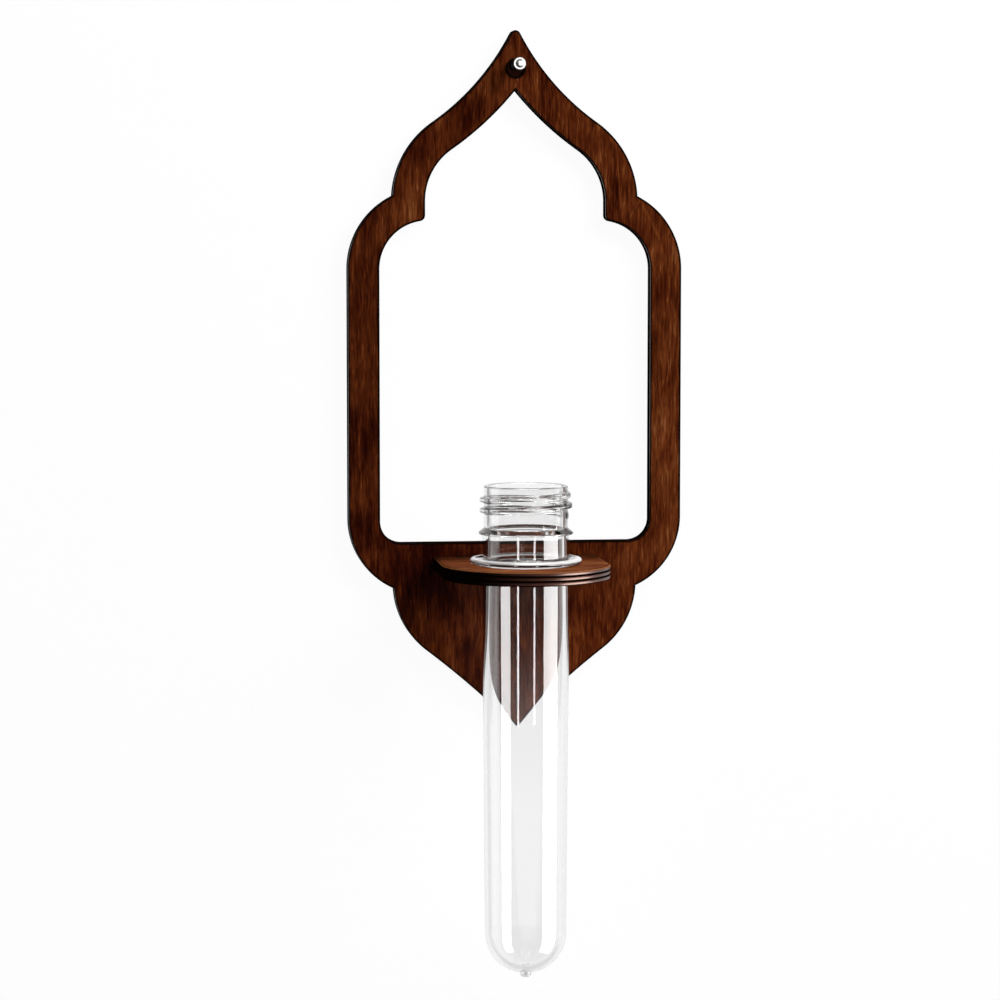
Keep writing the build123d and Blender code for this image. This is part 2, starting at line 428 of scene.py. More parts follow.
def closed_mesh(name, points, faces, edge=None):
    """A mesh with its seams and poles merged and its faces turned outwards.

    edge is the distance of each point from the nearest cut, in metres, and negative
    down the cut."""
    mesh = bpy.data.meshes.new(name)
    mesh.from_pydata(points.reshape(-1, 3).tolist(), [], faces.tolist())
    if edge is not None:
        layer = mesh.attributes.new("edge", "FLOAT", "POINT")
        layer.data.foreach_set("value", edge.ravel().astype(np.float32))
    work = bmesh.new()
    work.from_mesh(mesh)
    bmesh.ops.remove_doubles(work, verts=work.verts, dist=SAME_POINT)
    bmesh.ops.recalc_face_normals(work, faces=work.faces)
    work.to_mesh(mesh)
    work.free()
    return mesh


def turned_mesh(name, points):
    """A closed mesh from a grid of a profile turned about an axis."""
    return closed_mesh(name, points, grid_faces(*points.shape[:2], close_columns=True))


def finished(name, mesh, material, body, nodes, crease=35.0):
    """A piece in the scene: smooth but for its creases, riding on its body."""
    mesh.shade_smooth()
    mesh.set_sharp_from_angle(angle=math.radians(crease))
    mesh.materials.clear()
    mesh.materials.append(material)
    piece = bpy.data.objects.new(name, mesh)
    bpy.context.scene.collection.objects.link(piece)
    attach(piece, body)
    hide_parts(*nodes)
    return piece


def box_mesh(name, low, high):
    """A closed box between two corners."""
    x, y, z = (np.array([low[k], high[k]]) for k in range(3))
    points = np.stack(np.meshgrid(x, y, z, indexing="ij"), -1).reshape(-1, 3)
    faces = np.array(
        [[0, 1, 3, 2], [4, 6, 7, 5], [0, 4, 5, 1], [2, 3, 7, 6], [0, 2, 6, 4], [1, 5, 7, 3]]
    )
    return closed_mesh(name, points, faces)


def cut_or_joined(mesh, boxes, operation):
    """A mesh with boxes cut out of it or joined to it."""
    piece = bpy.data.objects.new(mesh.name, mesh)
    bpy.context.scene.collection.objects.link(piece)
    tools = []
    for low, high in boxes:
        tool = bpy.data.objects.new("tool", box_mesh("tool", low, high))
        bpy.context.scene.collection.objects.link(tool)
        tools.append(tool)
        step = piece.modifiers.new("step", "BOOLEAN")
        step.operation = operation
        step.solver = "EXACT"
        step.object = tool
    depsgraph = bpy.context.evaluated_depsgraph_get()
    result = bpy.data.meshes.new_from_object(piece.evaluated_get(depsgraph))
    result.name = mesh.name
    for item in [piece] + tools:
        bpy.data.objects.remove(item)
    return result


# Node materials written as expressions


class Field:
    """A value in a material. Arithmetic on fields adds Math nodes."""

    def __init__(self, maker, socket):
        self.maker = maker
        self.socket = socket

    def math(self, operation, *values):
        """A Math node on some values."""
        inputs = dict(enumerate(values))
        return self.maker.add("ShaderNodeMath", {"operation": operation}, inputs, "Value")

    def __add__(self, other):
        return self.math("ADD", self, other)

    def __radd__(self, other):
        return self.math("ADD", other, self)

    def __sub__(self, other):
        return self.math("SUBTRACT", self, other)

    def __rsub__(self, other):
        return self.math("SUBTRACT", other, self)

    def __mul__(self, other):
        return self.math("MULTIPLY", self, other)

    def __rmul__(self, other):
        return self.math("MULTIPLY", other, self)

    def max(self, other):
        return self.math("MAXIMUM", self, other)

    def abs(self):
        return self.math("ABSOLUTE", self)

    def rise(self, low, high):
        """0 at low, 1 at high and an S-shaped rise between them."""
        settings = {"interpolation_type": "SMOOTHSTEP"}
        inputs = {"Value": self, "From Min": low, "From Max": high}
        return self.maker.add("ShaderNodeMapRange", settings, inputs, "Result")

    def within(self, low, high, soft):
        """1 between low and high and 0 outside, over a soft edge to either side of each."""
        return self.rise(low - soft, low + soft) * (1 - self.rise(high - soft, high + soft))


class Maker:
    """Adds the nodes of one material or of the world."""

    def __init__(self, owner):
        owner.use_nodes = True
        self.owner = owner
        self.tree = owner.node_tree
        self.tree.nodes.clear()

    def add(self, kind, settings=None, inputs=None, output=0):
        """A node of a type, with its settings first, then values or links; gives one output."""
        node = self.tree.nodes.new(kind)
        for key, value in (settings or {}).items():
            if key == "stops":
                stops = node.color_ramp.elements
                while len(stops) < len(value):
                    stops.new(0.5)
                for stop, (place, tint) in zip(stops, value):
                    stop.position = place
                    stop.color = opaque(tint)
            else:
                setattr(node, key, value)
        for key, value in (inputs or {}).items():
            if isinstance(value, Field):
                self.tree.links.new(value.socket, node.inputs[key])
            else:
                node.inputs[key].default_value = value
        return Field(self, node.outputs[output]) if node.outputs else None

    def mix(self, factor, first, second):
        """Two colours mixed by a factor."""
        settings = {"data_type": "RGBA"}
        return self.add("ShaderNodeMix", settings, {0: factor, 6: first, 7: second}, 2)

    def noise(self, vector, detail=2.0, rough=0.5):
        """Cloudy noise, about 0.5 on average, with features one unit across."""
        inputs = {"Vector": vector, "Scale": 1.0, "Detail": detail, "Roughness": rough}
        return self.add("ShaderNodeTexNoise", {}, inputs, 0)

    def stretched(self, vector, scale, place=(0, 0, 0)):
        """A vector scaled and moved, to stretch or centre a pattern."""
        inputs = {"Vector": vector, "Location": place, "Scale": scale}
        return self.add("ShaderNodeMapping", {"vector_type": "POINT"}, inputs)

    def place(self):
        """Where a point lies on the piece."""
        return self.add("ShaderNodeTexCoord", {}, {}, "Object")

    def axes(self, vector, names):
        """The named parts of a vector, each a value."""
        return [self.add("ShaderNodeSeparateXYZ", {}, {0: vector}, name) for name in names]

    def reach(self, vector):
        """How long a vector is."""
        return self.add("ShaderNodeVectorMath", {"operation": "LENGTH"}, {0: vector}, "Value")

    def bump(self, strength, distance, height):
        """A normal that follows a height."""
        inputs = {"Strength": strength, "Distance": distance, "Height": height}
        return self.add("ShaderNodeBump", {}, inputs, "Normal")

    def finish(self, **inputs):
        """A Principled shader. An input's name is written with _ for each space."""
        inputs = {name.replace("_", " "): value for name, value in inputs.items()}
        return self.add("ShaderNodeBsdfPrincipled", {}, inputs)

    def blend(self, factor, first, second):
        """Two shaders mixed by a factor."""
        return self.add("ShaderNodeMixShader", {}, {0: factor, 1: first, 2: second})

    def surface(self, shader, **inside):
        """Puts a shader on the material and gives the material."""
        self.add("ShaderNodeOutputMaterial", {}, {"Surface": shader, **inside})
        return self.owner


def new_material(name):
    """A maker for a new material."""
    return Maker(bpy.data.materials.new(name))


def opaque(tint):
    """A colour with full alpha, as a colour socket takes it."""
    return (*tint, 1.0)


def dimmed(tint, share_left):
    """A colour with a share of its brightness."""
    return opaque([share_left * part for part in tint])


# Light and dark places of the frame's veneer in millimetres, two of them painted shadows: middle,
# half sizes, change
FIGURE_AND_SHADOWS = (
    (-46, -110, 10, 14, -0.27),
    (-46, -88, 8, 12, 0.14),
    (-47.5, -127, 3.5, 9, 0.20),
    (-44, -140, 11, 8, -0.16),
    (-44, -51, 8, 9, 0.11),
    (-32, -43, 6, 10, 0.24),
    (-24, -23, 7, 7, -0.08),
    (-15, -14, 8, 8, -0.28),
    (-4.5, 1.5, 3.5, 6, -0.14),
    # Painted shadow of the tube and the shelf on the plate by the shelf's left end
    (-19, -147, 13, 7, -0.15),
    (17, -14, 7, 8, 0.13),
    (25, -23, 6, 8, -0.14),
    (46, -56, 7, 10, 0.12),
    (45, -68, 10, 7, -0.10),
    (45.6, -80, 6, 7, -0.09),
    (45.5, -119, 8, 24, 0.26),
    # Painted shadow of the shelf, deepening its cast shadow on the plate below and left of it
    (-31, -154, 20, 19, -0.29),
    (26, -167, 13, 11, -0.08),
)

# Light and dark lines in it: middle, slope, half length, half width, change
LINES = (
    (31.6, -35, -0.075, 13, 0.55, 0.26),
    (30.5, -33, -0.06, 12, 0.8, -0.24),
    (36.2, -43, 0.55, 4, 0.6, 0.20),
    (41.5, -47, -0.5, 6, 0.9, 0.16),
    (0.35, -5.2, 0.26, 1.9, 0.3, 0.40),
    (-47, -112, 0.03, 12, 0.7, 0.16),
)

# Noises in a veneer: features per metre across and along the grain, start, detail, roughness
FIBRES = (1400, 150, (0, 0, 0), 3.0, 0.6)
STREAKS = (560, 75, (3.1, 0.4, 1.7), 2.0, 0.5)
CLOUDS = (120, 55, (0.6, 2.0, 5.2), 3.0, 0.55)
PORES = (3000, 260, (1.0, 5.0, 9.0), 1.0, 0.5)
FLECKS = (1700, 210, (7.0, 2.2, 3.3), 1.0, 0.5)

# How much each of them changes the tone, and how much lighter it is one metre to the right
FIBRE_TONE, STREAK_TONE, CLOUD_TONE, FLECK_TONE, TONE_TO_RIGHT = 0.95, 0.65, 0.8, 0.22, 1.6

# Noise levels between which a fleck, a pore and the pore's dent fade in
FLECK, PORE, DENT = (0.56, 0.74), (0.58, 0.72), (0.56, 0.72)

# Distances from a cut, in metres: where the scorch ends and the worn rim's shine starts and ends
SCORCH_END, SHINE_START, SHINE_END = (0.00042, 0.00082), (-0.00012, -0.00007), (0.0, 0.00008)

# How far the scorch and a line wander with the fibres, in metres, and how much the rim shines
SCORCH_WANDER, LINE_WANDER, RIM_SHINE = 0.0004, 0.0006, 0.6

# The shelf's edge, in metres: the round of a ply, where it turns brown from left to right as
# painted light from the right, the painted highlight on the top rim by its distance from the
# cut and below the top, and the soot with painted shade by the frame
PLY_ROUND, PAINTED_LIGHT_TO_RIGHT = (-0.00048, -0.00020), (-0.018, 0.006)
PAINTED_RIM_HIGHLIGHT, PAINTED_RIM_HIGHLIGHT_BELOW = (-0.00006, -0.00002), (0.00042, 0.00026)
SOOT_AND_SHADE_REACH, SOOT_AND_SHADE = 0.024, 0.85


def stained_plywood(name, grain_axis, figure, lines, lift, face_coat, cut_gloss):
    """Dark stained veneer: fibres along the grain, pores, figure, painted shadows and scorched cuts.

    The tone adds up noises stretched along the grain, soft ellipses and slanting
    lines, and a ramp turns it into stain; some of the dark ellipses are painted shadows.
    The edge attribute is the distance from the nearest cut: it is positive on a face and
    negative down the cut's worn rim.
    The worn rim shines a little. A glossy cut is brown and shines on the round of its
    plies, brown only towards the right as painted light from that side, and its top rim
    carries a painted highlight all along. Such a board is darker towards the frame it is
    glued into, soot and painted shade together."""
    f = bpy.context.scene.vase_finishes
    m = new_material(name)
    place = m.place()
    x, y, z = m.axes(place, "XYZ")

    def noise(across, lengthways, start, detail, rough):
        """Noise with so many features per metre across and along the grain."""
        scale = [lengthways if axis == grain_axis else across for axis in "XYZ"]
        return m.noise(m.stretched(place, scale, start), detail, rough)

    fibres, streaks, clouds = noise(*FIBRES), noise(*STREAKS), noise(*CLOUDS)
    pores, flecks = noise(*PORES), noise(*FLECKS)
    edge = m.add("ShaderNodeAttribute", {"attribute_name": "edge"}, {}, "Fac")

    # The lift sets the stain's tone; the shelf's higher lift is painted light, for its top facing the
    # light from above
    tone = lift + FIBRE_TONE * (fibres - 0.5) + STREAK_TONE * (streaks - 0.5)
    tone = tone + CLOUD_TONE * (clouds - 0.5) + x * TONE_TO_RIGHT
    tone = tone + FLECK_TONE * flecks.rise(*FLECK)
    # Soft ellipses of figure, some of them painted shadows
    for middle_x, middle_z, half_x, half_z, change in figure:
        scale = (1000 / half_x, 0, 1000 / half_z)
        away = m.reach(m.stretched(place, scale, (-middle_x / half_x, 0, -middle_z / half_z)))
        tone = tone + (1 - away.rise(0.1, 1.1)) * change
    for middle_x, middle_z, slope, half, width, change in lines:
        rise = z - middle_z / 1000
        off = (x - middle_x / 1000 - rise * slope + (fibres - 0.5) * LINE_WANDER).abs()
        line = (1 - off.rise(0, width / 1000)) * (1 - rise.abs().rise(half / 2000, half / 1000))
        tone = tone + line * change
    stops = [
        (0.0, f.stain_deep),
        (0.28, f.stain_dark),
        (0.52, f.stain_middle),
        (0.76, f.stain_light),
        (1.0, f.stain_pale),
    ]
    stain = m.add("ShaderNodeValToRGB", {"stops": stops}, {"Fac": tone}, "Color")
    wood = m.mix(pores.rise(*PORE) * 0.55, stain, opaque(f.stain_deep))
    burnt = 1 - (edge + (fibres - 0.5) * SCORCH_WANDER).rise(*SCORCH_END)
    paint = m.mix(burnt, wood, opaque(f.scorch))
    gloss = edge.rise(*SHINE_START) * (1 - edge.rise(*SHINE_END)) * RIM_SHINE
    if cut_gloss:
        # Painted light: the cut plies turn brown only towards the right, where the light falls; the
        # left stays black
        ply_round_painted_lit = (1 - edge.rise(*PLY_ROUND)) * x.rise(*PAINTED_LIGHT_TO_RIGHT)
        paint = m.mix(ply_round_painted_lit, paint, opaque(f.cut_wood))
        # Painted highlight: a pale line along the top rim of the cut
        top_rim_highlight = z.rise(*[SHELF_TOP - below for below in PAINTED_RIM_HIGHLIGHT_BELOW])
        top_rim_highlight = top_rim_highlight * (1 - edge.rise(*PAINTED_RIM_HIGHLIGHT))
        paint = m.mix(top_rim_highlight, paint, opaque(f.stain_pale))
        # Soot and painted shade: darker towards the frame, where the shelf meets it
        soot_and_shade = 1 - (FRAME_FRONT - y).rise(0.0, SOOT_AND_SHADE_REACH)
        paint = m.mix(soot_and_shade * SOOT_AND_SHADE, paint, opaque(f.scorch))
        gloss = ply_round_painted_lit * cut_gloss
    height = fibres * 0.6 - pores.rise(*DENT) * 0.5
    shader = m.finish(
        Base_Color=paint,
        Roughness=0.52 + 0.16 * fibres,
        Specular_IOR_Level=0.0,
        Coat_Weight=face_coat * (1 - burnt) + gloss,
        Coat_Roughness=0.28,
        Normal=m.bump(0.25, 0.0002, height),
    )
    return m.surface(shader)


# Greys of the frosted ring, of the broken gate mark and of the plastic's depth
FROST_GREY, GATE_GREY, DEPTH_GREY = opaque([0.9] * 3), opaque([0.35] * 3), opaque([0.5] * 3)

# Where the gate mark ends above the tube's foot, and where the frost starts from the axis and
# above the shelf, in metres
GATE_END, FROST_FROM_AXIS, FROST_ABOVE = (0.0011, 0.0014), (0.0139, 0.0160), (0.0009, 0.0014)

# How deep behind its front the nail is painted dark as shade, in metres
PAINTED_SHADE_BEHIND = (0.0004, 0.0007)


def clear_plastic():
    """Clear moulded plastic with the faint upright waves that the mould leaves.

    It is a little grey where it is thick. The upper side of the carrying ring, which
    lies far from the axis, is frosted, and the broken gate mark is dull."""
    f = bpy.context.scene.vase_finishes
    m = new_material("clear_plastic")
    place = m.place()
    (height,) = m.axes(place, "Z")
    waves = m.noise(m.stretched(place, (240, 240, 16)), 1.0)
    bump = m.bump(0.045, 0.0002, waves)
    gate = 1 - (height - TUBE_LOW.z).rise(*GATE_END)
    clear = m.finish(
        Base_Color=m.mix(gate, opaque(f.clear), GATE_GREY),
        Roughness=gate * 0.45,
        IOR=1.575,
        Transmission_Weight=1.0,
        Normal=bump,
    )
    frosted = m.finish(Base_Color=FROST_GREY, Roughness=0.3, Normal=bump)
    from_axis = m.reach(m.stretched(place, (1, 1, 0), (0, -TUBE_Y, 0)))
    upper = height.rise(*[SHELF_TOP + above for above in FROST_ABOVE])
    frost = from_axis.rise(*FROST_FROM_AXIS) * upper * (0.5 + 0.12 * waves)
    depth = m.add("ShaderNodeVolumeAbsorption", {}, {"Color": DEPTH_GREY, "Density": 16.0})
    return m.surface(m.blend(frost, clear, frosted), Volume=depth)


def drawn_steel():
    """Steel with fine scratches along the nail, bright on the head's face and darkened behind it as
    painted shade.
    """
    f = bpy.context.scene.vase_finishes
    m = new_material("drawn_steel")
    place = m.place()
    scratches = m.noise(m.stretched(place, (9000, 400, 9000)), 2.0)
    smudge = m.noise(m.stretched(place, (900, 900, 900)), 2.0)
    bright = m.mix(smudge.rise(0.35, 0.7), opaque(f.steel), dimmed(f.steel, 0.8))
    # Painted shade: the head's rim and the shank behind it are darkened, for the shade round the head
    behind = (m.axes(place, "Y")[0] - NAIL_LOW.y).rise(*PAINTED_SHADE_BEHIND)
    shader = m.finish(
        Base_Color=m.mix(behind, bright, dimmed(f.steel, 0.12)),
        Metallic=1.0,
        Roughness=0.16 + 0.12 * scratches,
        Normal=m.bump(0.12, 0.00005, scratches),
    )
    return m.surface(shader)


# Pieces

# Plies of each board, with a slot name for each
FRAME_PLIES = {"front": "stained_face", "core": "stained_core", "back": "stained_face"}
SHELF_PLIES = {"top": "stained_face", "core": "stained_core", "bottom": "stained_face"}

# Columns of a frame ply along each run of its outline, from the point to the foot
FRAME_COLUMNS = (64, 56, 48, 30, 48, 90)

# Rows over a ply's face, as shares of the way from its outline to its window or hole
ROWS_ABOVE_HOLE = np.array([0, 0.012, 0.03, 0.055, 0.09, 0.15, 0.24, 0.34, 0.44])
ROWS_BELOW_HOLE = np.array([0.87, 0.915, 0.945, 0.97, 0.988, 1.0])
SHELF_ROWS = np.array([0, 0.02, 0.05, 0.1, 0.2, 0.35, 0.5, 0.65, 0.8, 0.9, 0.95, 0.98, 1])

# Rows round half the hanging hole, points round all of it, and steps down a ply's worn edge
HOLE_ROWS, HOLE_POINTS = 15, 90
FRAME_EDGE_STEPS, SHELF_EDGE_STEPS = 4, 5

# Points along half the shelf's back, along a side and round a quarter of its front
SHELF_BACK, SHELF_SIDE, SHELF_ROUND = 24, 20, 90

# How far aside of the middle line the rows are parted, level and free again, in metres
PARTED_TO, LEVEL_TO, FREE_FROM = 0.0045, 0.005, 0.010


def spanned(outer, inner, shares):
    """Points between two matching paths, at shares of the way from the first to the second."""
    shares = shares[..., None]
    return outer[:, None] * (1 - shares) + inner[:, None] * shares


def distances(face, cuts):
    """How far each point of a face is from the nearest point of its cuts."""
    return np.array([np.linalg.norm(row[:, None] - cuts, axis=2).min(1) for row in face])


def worn_round(radius, steps):
    """How far in and how deep the points of a worn edge lie, down a quarter circle."""
    bend = np.linspace(0, math.pi / 2, steps + 1)[1:]
    return radius * (1 - np.sin(bend)), radius * (1 - np.cos(bend))


def ply_section(face, inner_edge, outer_edge, near, far, depths):
    """A ply's points round its section and the depth of each row, between near and far.

    The section runs over the near face from the outline inwards, round the inner
    edge, back over the far face and round the outer edge."""
    plan = [face, inner_edge, inner_edge[:, ::-1], face[:, ::-1], outer_edge, outer_edge[:, ::-1]]
    inwards = math.copysign(1, far - near) * depths
    flat = np.zeros(face.shape[1])
    near_rows, far_rows = near + inwards, far - inwards
    rows = [near + flat, near_rows, far_rows[::-1], far + flat, far_rows, near_rows[::-1]]
    return np.concatenate(plan, 1), np.concatenate(rows)


def inset_half(path, amount, side):
    """Half an outline moved sideways, with its ends kept on the middle line."""
    moved = inset(path, amount, side)
    moved[[0, -1], 0] = 0.0
    return moved


def frame_face(s, outer, inner):
    """Points over the right half of a frame ply's face.

    Rows lie close together at both cuts and round the hanging hole. On the middle line
    they part round the hole by a half circle, which fades out sideways, and they run
    level until it has."""
    hole_radius = s.hole_diameter / 2
    top, peak = outer[0, 1] - s.edge_round, inner[0, 1] + s.edge_round
    turn = np.linspace(0, math.pi, HOLE_ROWS)
    hole_heights = s.hole_height + hole_radius * np.cos(turn)
    hole_shares = (top - hole_heights) / (top - peak)
    shares = np.concatenate([ROWS_ABOVE_HOLE, hole_shares, ROWS_BELOW_HOLE])
    half_circle = hole_radius * np.sin(turn)
    bulge = np.concatenate([0 * ROWS_ABOVE_HOLE, half_circle, 0 * ROWS_BELOW_HOLE])
    outer = inset_half(outer, s.edge_round, -1)
    inner = inset_half(inner, s.edge_round, 1)
    aside = (outer[:, 0] + inner[:, 0]) / 2
    aside[len(aside) // 2 :] = aside.max()

    # Shares at the hole's top and foot, turned level where the column is near the hole
    ends = hole_shares[[0, -1]]
    near = aside < FREE_FROM
    drop = outer[near, 1] - inner[near, 1]
    level = (outer[near, 1, None] - hole_heights[[0, -1]]) / drop[:, None]
    freed = smooth_step(LEVEL_TO, FREE_FROM, aside[near])[:, None]
    turned = np.tile(ends, (len(aside), 1))
    turned[near] = level * (1 - freed) + ends * freed
    shares = np.stack([np.interp(shares, [0, *ends, 1], [0, *pair, 1]) for pair in turned])
    face = spanned(outer, inner, shares)
    face[..., 0] += np.clip(1 - aside / PARTED_TO, 0, 1)[:, None] * bulge
    return face


def frame_veneer(name, s, front, back, worn):
    """One ply of the frame between two depths, as a closed band round the window.

    The grid runs down the right half of the outline and round the ply's section, and
    is mirrored. A worn ply shows the rim of its front edge."""
    runs = list(zip(frame_paths(s), FRAME_COLUMNS))
    outer, inner = [joined(*[resampled(run[k], count) for run, count in runs]) for k in (0, 1)]
    face = frame_face(s, outer, inner)
    turn = np.linspace(0, 2 * math.pi, HOLE_POINTS)
    hole = np.stack([np.cos(turn), np.sin(turn)], 1) * (s.hole_diameter / 2) + [0, s.hole_height]
    away = distances(face, np.concatenate([outer, inner, hole]))
    steps, depths = worn_round(s.edge_round, FRAME_EDGE_STEPS)
    window_edge = np.stack([inset_half(inner, step, 1) for step in steps], 1)
    outer_edge = np.stack([inset_half(outer, step, -1) for step in steps], 1)
    section, depth = ply_section(face, window_edge, outer_edge, front, back, depths)
    columns, rows = section.shape[:2]
    depth = np.broadcast_to(depth, (columns, rows))
    half = np.stack([section[..., 0], depth, section[..., 1]], 2).reshape(-1, 3)
    down = np.full(len(depths), -s.edge_round)
    rim = -depths if worn else down
    cuts = [np.broadcast_to(part, (columns, len(part))) for part in (rim, down, down, rim[::-1])]
    edge = np.concatenate([away, *cuts[:2], away[:, ::-1], *cuts[2:]], 1)

    # The hole's wall: front rows to back rows of the first column
    first = len(ROWS_ABOVE_HOLE) + np.arange(HOLE_ROWS - 1)
    back_row = 2 * (face.shape[1] + len(depths)) - 1
    wall = np.stack([first, first + 1, back_row - first - 1, back_row - first], 1)
    faces = np.concatenate([grid_faces(columns, rows, close_columns=True), wall])
    points = np.concatenate([half, half * [-1, 1, 1]])
    faces = np.concatenate([faces, faces[:, ::-1] + columns * rows])
    return closed_mesh(name, points, faces, np.concatenate([edge.ravel()] * 2))


def shelf_veneer(name, s, top, bottom):
    """One ply of the shelf between two heights, as a closed band round the tube's hole.

    The outline is a half circle about the tube with straight sides to the frame.
    Each of its points is joined to the point of the hole in the same direction. The
    hole's wall counts as burnt all through."""
    half = s.width / 2
    centre = np.array([0.0, TUBE_Y])
    right, left, front = centre + [half, 0], centre - [half, 0], centre - [0, half]
    back, back_right, back_left = [np.array([x, FRAME_FRONT]) for x in (0.0, half, -half)]
    outer = joined(
        straight(back, back_right, SHELF_BACK),
        straight(back_right, right, SHELF_SIDE),
        arc(centre, right, front, SHELF_ROUND),
        arc(centre, front, left, SHELF_ROUND),
        straight(left, back_left, SHELF_SIDE),
        straight(back_left, back, SHELF_BACK),
    )[:-1]
    ring = np.concatenate([outer[-1:], outer, outer[:1]])
    towards = np.arctan2(outer[:, 1] - TUBE_Y, outer[:, 0])
    compass = np.stack([np.cos(towards), np.sin(towards)], 1)
    inner = centre + s.hole_diameter / 2 * compass

    def outline(step):
        """The outline moved in by a step."""
        return inset(ring, step, -1)[1:-1]

    def hole(step):
        """The hole made wider by a step all round."""
        return inner + step * compass

    face = spanned(outline(s.edge_round), hole(s.edge_round), SHELF_ROWS)
    away = distances(face, np.concatenate([outer, inner]))
    steps, depths = worn_round(s.edge_round, SHELF_EDGE_STEPS)
    hole_edge = np.stack([hole(step) for step in steps], 1)
    outer_edge = np.stack([outline(step) for step in steps], 1)
    section, height = ply_section(face, hole_edge, outer_edge, top, bottom, depths)
    columns, rows = section.shape[:2]
    height = np.broadcast_to(height[:, None], (columns, rows, 1))
    down = np.broadcast_to(-depths, (columns, len(depths)))
    burnt = np.zeros((columns, 2 * len(depths)))
    edge = np.concatenate([away, burnt, away[:, ::-1], down, down[:, ::-1]], 1)
    faces = grid_faces(columns, rows, close_rows=True, close_columns=True)
    return closed_mesh(name, np.concatenate([section, height], 2), faces, edge)


def tenon_boxes(s, room, near, far, low, high):
    """Corners of the two tenons between two depths and heights, with room at their sides."""
    half = s.tenon_width / 2 + room
    boxes = []
    for side in (-1, 1):
        middle = side * s.tenon_spacing / 2
        boxes.append(((middle - half, near, low - room), (middle + half, far, high + room)))
    return boxes


# How far beside a rounded corner a point keeps the side's shading flat, in metres
FLAT_BESIDE = 0.00004


def rounded(corners, count=6):
    """A line through corners, each a place and a radius, with an arc for each inner one.

    The arc leaves each side of the corner at the radius over the tangent of half
    the corner's angle. A point just beside either end keeps the side's shading flat."""
    points = [np.array(corner[:2], float) for corner in corners]
    radii = [corner[2] for corner in corners[1:-1]]
    runs = [points[0][None]]
    for before, corner, after, radius in zip(points, points[1:], points[2:], radii):
        a = (before - corner) / np.linalg.norm(before - corner)
        b = (after - corner) / np.linalg.norm(after - corner)
        half = math.acos(np.clip(a @ b, -1, 1)) / 2
        reach = radius / math.tan(half)
        beside = reach + FLAT_BESIDE
        middle = (a + b) / np.linalg.norm(a + b) * radius / math.sin(half)
        runs.append((corner + a * beside)[None])
        runs.append(arc(corner + middle, corner + a * reach, corner + b * reach, count))
        runs.append((corner + b * beside)[None])
    return np.concatenate(runs + [points[-1][None]])


def densified(path, limit):
    """A line of points with long steps divided, each step no longer than its limit."""
    parts = []
    for first, last in zip(path, path[1:]):
        steps = max(1, math.ceil(np.linalg.norm(last - first) / limit(first, last)))
        parts.append(straight(first, last, steps + 1)[:-1])
    return np.concatenate(parts + [path[-1:]])


# Columns round the tube and the nail, and those close beside each of the tube's seams
TUBE_COLUMNS, NAIL_COLUMNS, SEAM_COLUMNS = 240, 64, 13

# Points down the outside and the inside of the dome, round a corner and across the dimple
DOME_POINTS, BOWL_POINTS, CORNER_POINTS, CUP_POINTS = 32, 28, 8, 16

# Longest steps along a profile: where the thread is, on the rest of the tube and on the nail
THREAD_STEP, TUBE_STEP, NAIL_STEP = 0.00011, 0.004, 0.00012

# How far the seam's columns reach to either side and how wide its ridge is, in radians
SEAM_REACH, SEAM_WIDTH = 0.04, 0.012

# How far above the ring the seam starts, how soft a grip mark's side is, and how near a point
# counts as lying on a straight side, in metres
SEAM_START, MARK_SOFT, ON_SIDE, NEAR_SIDE = 0.0003, 0.0001, 1e-5, 1e-4


def tube_profile(s):
    """The tube's profile: from the gate mark up the outside, over the rim and down the bore.

    A corner is its distance from the axis, its height and its radius."""
    dome = s.body_end_diameter / 2
    inner_dome = dome - s.body_wall
    dome_height = SHELF_TOP - s.body_length + dome
    gate = s.gate_diameter / 2
    gate_low = dome_height - dome - s.gate_length
    ring_top = SHELF_TOP + s.ring_thickness
    bead_low = RIM_HEIGHT - s.bead_drop
    bead_top = bead_low + s.bead_height
    neck, bore = s.neck_diameter / 2, s.neck_bore / 2
    lower_neck, bead = s.lower_neck_diameter / 2, s.bead_diameter / 2
    body_top, ring = s.body_top_diameter / 2, s.ring_diameter / 2
    bore_step = SHELF_TOP - s.bore_step_drop
    middle = np.array([0.0, dome_height])
    gate_meet = np.array([gate, dome_height - math.sqrt(dome**2 - gate**2)])
    mark = rounded([(0, gate_low, 0), (gate, gate_low, 0.0005), (*gate_meet, 0)])
    outside = rounded(
        [
            (dome, dome_height, 0),
            (body_top, SHELF_TOP, 0.0003),
            (ring, SHELF_TOP, 0.0006),
            (ring, ring_top, 0.0008),
            (lower_neck, ring_top, 0.0004),
            (lower_neck, bead_low, 0.0002),
            (bead, bead_low, 0.0003),
            (bead, bead_top - s.bead_slope, 0.0003),
            (neck, bead_top, 0.0003),
            (neck, RIM_HEIGHT, 0.0005),
            (bore, RIM_HEIGHT, 0.0005),
            (bore, bore_step, 0.02),
            (body_top - s.body_wall, bore_step - s.bore_step_length, 0.02),
            (inner_dome, dome_height, 0),
        ],
        CORNER_POINTS,
    )
    bowl = arc(middle, middle + [inner_dome, 0], middle - [0, inner_dome], BOWL_POINTS)
    cap = arc(middle, gate_meet, middle + [dome, 0], DOME_POINTS)

    def limit(first, last):
        """Short steps on the neck above the bead, where the thread is."""
        radius, height = np.minimum(first, last)
        threaded = radius > neck - ON_SIDE and height > bead_top - NEAR_SIDE
        return THREAD_STEP if threaded else TUBE_STEP

    profile = densified(joined(mark, cap, outside, bowl), limit)
    profile[[0, -1], 0] = 0.0
    return profile


